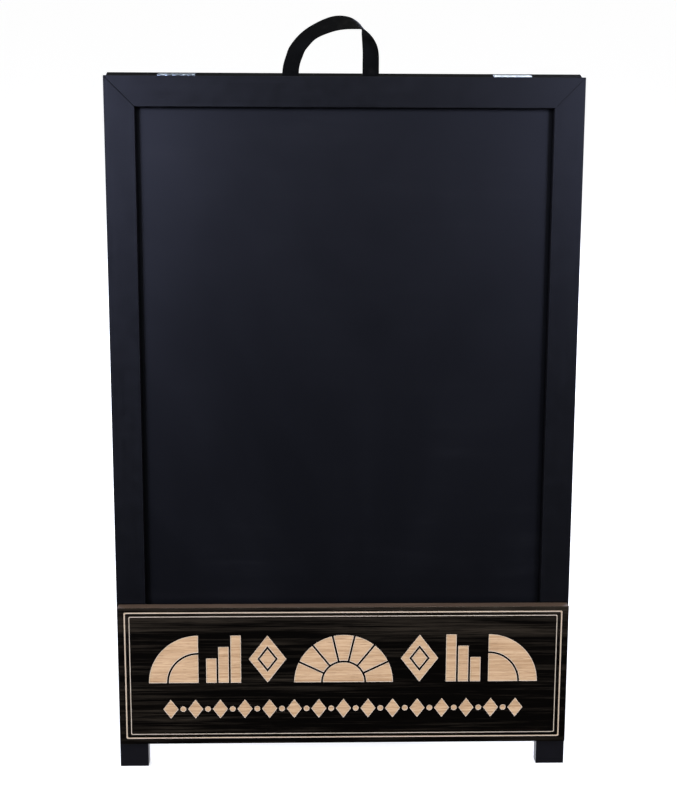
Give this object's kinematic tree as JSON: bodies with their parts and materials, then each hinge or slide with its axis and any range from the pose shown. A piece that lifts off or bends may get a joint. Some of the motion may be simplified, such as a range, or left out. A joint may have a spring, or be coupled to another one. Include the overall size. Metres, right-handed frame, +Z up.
{
  "type": "chalkboard a-board",
  "caption": "Free-standing folding A-board sign: two framed chalkboards hinged at the top, with name boards and a webbing carry handle.",
  "frame": {"origin": "on the floor, midway between the two boards and midway across their width", "axes": "+Z up; +X to the right of a reader facing the front board; +Y from the front board to the rear board"},
  "size_m": [0.65, 0.4174, 1.0465],
  "materials": {
    "painted_frame": "satin blue-black paint on planed softwood",
    "chalkboard": "matte blackboard paint on hardboard",
    "sign_core": "brown stained board edge",
    "pale_oak": "satin pale oak veneer",
    "dark_face": "near-black satin laminate with a horizontal wood grain",
    "zinc": "bright zinc plate",
    "steel": "zinc-plated steel",
    "beech": "bare beech dowel",
    "webbing": "woven black polypropylene webbing"
  },
  "bodies": {
    "front_frame": {"front_left_stile": "painted_frame", "front_right_stile": "painted_frame", "front_top_rail": "painted_frame", "front_bottom_rail": "painted_frame", "front_chalkboard": "chalkboard", "front_panel_nails": "steel", "front_mitre_dowels": "beech", "front_rail_dowels": "beech", "front_sign_board": "sign_core", "front_sign_veneer": "pale_oak", "front_sign_face": "dark_face", "front_sign_screws": "steel", "left_hinge_front_leaf": "zinc", "left_hinge_pin": "zinc", "left_hinge_front_screws": "zinc", "right_hinge_front_leaf": "zinc", "right_hinge_pin": "zinc", "right_hinge_front_screws": "zinc", "carry_handle": "webbing", "handle_screws": "steel", "left_stay": "webbing", "right_stay": "webbing", "stay_front_screws": "steel"},
    "rear_frame": {"rear_left_stile": "painted_frame", "rear_right_stile": "painted_frame", "rear_top_rail": "painted_frame", "rear_bottom_rail": "painted_frame", "rear_chalkboard": "chalkboard", "rear_panel_nails": "steel", "rear_mitre_dowels": "beech", "rear_rail_dowels": "beech", "rear_sign_board": "sign_core", "rear_sign_veneer": "pale_oak", "rear_sign_face": "dark_face", "rear_sign_screws": "steel", "left_hinge_rear_leaf": "zinc", "left_hinge_rear_screws": "zinc", "right_hinge_rear_leaf": "zinc", "right_hinge_rear_screws": "zinc", "stay_rear_screws": "steel"}
  },
  "joints": [
    {"name": "fold", "type": "hinge", "parent": "front_frame", "child": "rear_frame", "pos_m": [0, 0, 0.9673], "axis": [-1, 0, 0], "range_deg": [0, 21], "deforming": ["left_stay", "right_stay"]}
  ]
}
